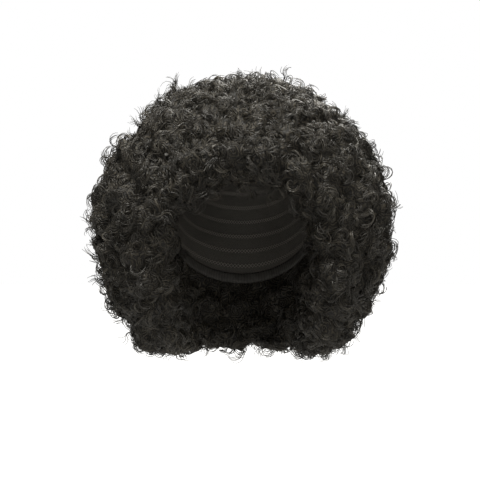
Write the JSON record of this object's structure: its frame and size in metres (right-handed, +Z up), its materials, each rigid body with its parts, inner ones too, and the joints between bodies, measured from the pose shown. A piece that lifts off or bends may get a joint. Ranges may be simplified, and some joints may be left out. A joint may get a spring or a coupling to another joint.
{
  "type": "clown wig",
  "caption": "Large round wig of dense dark curls on a stretch cap, with an arched opening for the face and an elastic edge.",
  "frame": {"origin": "crown of the head, on the inside of the cap, where the wig sits on a head", "axes": "+Z up, the face towards -Y, +X towards the wearer's left"},
  "size_m": [0.3201, 0.2952, 0.2978],
  "materials": {
    "hair": "satin curled fibre",
    "cap_net": "matt stretch net",
    "elastic": "matt woven tape"
  },
  "bodies": {
    "root": {"cap": "cap_net", "rim_elastic": "elastic", "crown_weft": "hair", "weft_2": "hair", "weft_3": "hair", "weft_4": "hair", "rim_weft": "hair"}
  },
  "joints": []
}
